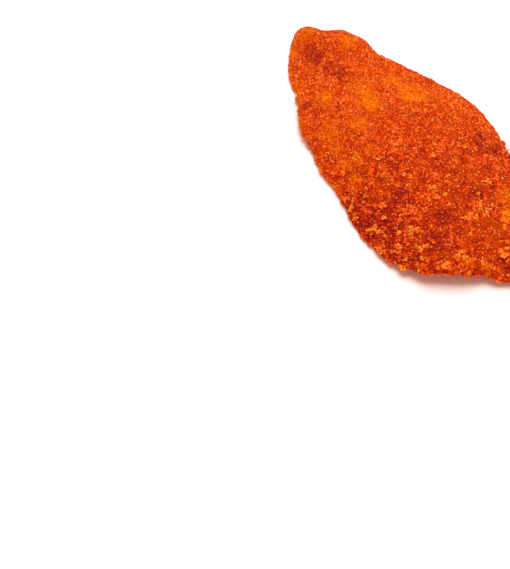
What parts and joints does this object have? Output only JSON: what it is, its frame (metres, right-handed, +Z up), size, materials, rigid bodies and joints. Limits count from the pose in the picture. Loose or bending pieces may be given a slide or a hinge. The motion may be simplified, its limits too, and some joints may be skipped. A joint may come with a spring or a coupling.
{
  "type": "dried mango slice",
  "caption": "Thin curved slice of dried mango with a knobbly narrow tip, a round far end and a coarse crust of chilli and sugar.",
  "frame": {"origin": "middle of the slice's outline, at the level of the low spots that it rests on", "axes": "+X along the slice from its narrow knobbly tip to its wide round end, +Y to its far side, +Z up through its thickness, crust side up"},
  "size_m": [0.0864, 0.0454, 0.0074],
  "materials": {
    "chilli_dusted_fruit": null
  },
  "bodies": {
    "root": {"mango_slice": "chilli_dusted_fruit"}
  },
  "joints": []
}
